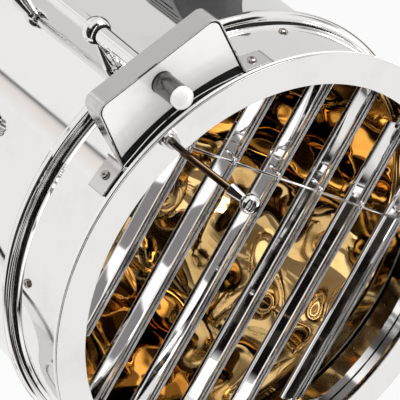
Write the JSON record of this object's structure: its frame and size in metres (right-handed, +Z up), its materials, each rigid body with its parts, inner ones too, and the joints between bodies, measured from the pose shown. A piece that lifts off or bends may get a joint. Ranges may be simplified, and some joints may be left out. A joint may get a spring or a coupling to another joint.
{
  "type": "searchlight floor lamp",
  "caption": "Floor lamp with a polished drum searchlight head, upright louvre shutters worked by a lever, a sight rail, a tilting yoke, a slim column and a round base.",
  "frame": {"origin": "On the floor, under the axis of the column.", "axes": "+Z up, -Y the way the head's glassless front faces, +X to the right seen from the front."},
  "size_m": [0.517, 0.5105, 1.6697],
  "materials": {
    "polished_nickel": "mirror-polished nickel plate",
    "knurled_steel": "dark knurled grip with a polished cap",
    "dark_enamel": "dark grey heat-proof enamel",
    "bright_aluminium": "polished sheet",
    "gold_reflector": "gold-tinted mirror",
    "brass": "bright screw cap",
    "porcelain": "glazed white",
    "bulb_glass": "clear glass",
    "cast_weight": "rough casting",
    "black_rubber": "matt black"
  },
  "bodies": {
    "stand": {"base_cover": "polished_nickel", "base_hub": "polished_nickel", "base_weight": "cast_weight", "base_pad": "black_rubber", "cable_gland": "black_rubber", "switch_housing": "polished_nickel", "column_lower": "polished_nickel", "column_collar": "polished_nickel", "column_upper": "polished_nickel", "swivel_housing": "polished_nickel"},
    "yoke": {"yoke_fork": "polished_nickel", "yoke_stem": "polished_nickel"},
    "head": {"bezel": "polished_nickel", "collar": "polished_nickel", "drum_bead": "polished_nickel", "drum_shell": "polished_nickel", "rear_dome": "polished_nickel", "vent_cap": "polished_nickel", "reflector": "gold_reflector", "lamp_holder": "porcelain", "holder_plate": "bright_aluminium", "bulb_glass": "bulb_glass", "bulb_cap": "brass", "shutter_frame": "bright_aluminium", "sight_bracket": "polished_nickel", "sight_plate": "polished_nickel", "sight_boss": "knurled_steel", "sight_rail": "polished_nickel", "rail_post_front": "polished_nickel", "rail_post_rear": "polished_nickel", "bracket_screw_left": "polished_nickel", "bracket_screw_right": "polished_nickel", "collar_screw_1": "polished_nickel", "collar_screw_2": "polished_nickel", "collar_screw_3": "polished_nickel", "collar_screw_4": "polished_nickel", "hood_flange": "polished_nickel", "vent_hood": "dark_enamel", "trunnion_left": "polished_nickel", "trunnion_right": "polished_nickel"},
    "louvre_1": {"blade_1": "bright_aluminium"},
    "louvre_2": {"blade_2": "bright_aluminium"},
    "louvre_3": {"blade_3": "bright_aluminium"},
    "louvre_4": {"blade_4": "bright_aluminium"},
    "louvre_5": {"blade_5": "bright_aluminium"},
    "louvre_6": {"blade_6": "bright_aluminium"},
    "shutter_lever": {"tie_rod": "polished_nickel", "lever_rod": "polished_nickel", "lever_ball": "polished_nickel", "lever_screw": "polished_nickel"},
    "left_clamp": {"tilt_knob_left": "polished_nickel"},
    "right_clamp": {"tilt_knob_right": "polished_nickel"},
    "swivel_clamp": {"swivel_lock": "polished_nickel"},
    "floor_switch": {"switch_button": "polished_nickel"}
  },
  "joints": [
    {"name": "yoke_swivel", "type": "hinge", "parent": "stand", "child": "yoke", "pos_m": [0, 0, 1], "axis": [0, 0, 1], "range_deg": [-170, 170]},
    {"name": "head_tilt", "type": "hinge", "parent": "yoke", "child": "head", "pos_m": [0, 0, 1.37], "axis": [1, 0, 0], "range_deg": [-45, 60]},
    {"name": "louvre_3_turn", "type": "hinge", "parent": "head", "child": "louvre_3", "pos_m": [-0.0295, -0.184, 1.37], "axis": [0, 0, 1], "range_deg": [-15, 73]},
    {"name": "louvre_1_turn", "type": "hinge", "parent": "head", "child": "louvre_1", "pos_m": [-0.1475, -0.184, 1.37], "axis": [0, 0, 1], "range_deg": [-15, 73]},
    {"name": "louvre_2_turn", "type": "hinge", "parent": "head", "child": "louvre_2", "pos_m": [-0.0885, -0.184, 1.37], "axis": [0, 0, 1], "range_deg": [-15, 73]},
    {"name": "louvre_4_turn", "type": "hinge", "parent": "head", "child": "louvre_4", "pos_m": [0.0295, -0.184, 1.37], "axis": [0, 0, 1], "range_deg": [-15, 73]},
    {"name": "louvre_5_turn", "type": "hinge", "parent": "head", "child": "louvre_5", "pos_m": [0.0885, -0.184, 1.37], "axis": [0, 0, 1], "range_deg": [-15, 73]},
    {"name": "louvre_6_turn", "type": "hinge", "parent": "head", "child": "louvre_6", "pos_m": [0.1475, -0.184, 1.37], "axis": [0, 0, 1], "range_deg": [-15, 73]},
    {"name": "lever_link", "type": "hinge", "parent": "louvre_3", "child": "shutter_lever", "pos_m": [-0.049, -0.21185, 1.462], "axis": [0, 0, 1], "range_deg": [-73, 15]},
    {"name": "left_clamp_turn", "type": "hinge", "parent": "head", "child": "left_clamp", "pos_m": [-0.24, 0, 1.37], "axis": [1, 0, 0], "range_deg": [-180, 180]},
    {"name": "right_clamp_turn", "type": "hinge", "parent": "head", "child": "right_clamp", "pos_m": [0.24, 0, 1.37], "axis": [1, 0, 0], "range_deg": [-180, 180]},
    {"name": "swivel_clamp_turn", "type": "hinge", "parent": "stand", "child": "swivel_clamp", "pos_m": [0, 0.03, 0.9894], "axis": [0, 1, 0], "range_deg": [-180, 180]},
    {"name": "floor_switch_press", "type": "slide", "parent": "stand", "child": "floor_switch", "axis": [0, 0, 1], "range_m": [-0.003, 0], "stiffness_N_per_m": 800, "springref_m": 0.001}
  ],
  "couplings": [
    {"joint": "louvre_1_turn", "follows": "louvre_3_turn", "ratio": 1},
    {"joint": "louvre_2_turn", "follows": "louvre_3_turn", "ratio": 1},
    {"joint": "louvre_4_turn", "follows": "louvre_3_turn", "ratio": 1},
    {"joint": "louvre_5_turn", "follows": "louvre_3_turn", "ratio": 1},
    {"joint": "louvre_6_turn", "follows": "louvre_3_turn", "ratio": 1},
    {"joint": "lever_link", "follows": "louvre_3_turn", "ratio": -1}
  ]
}
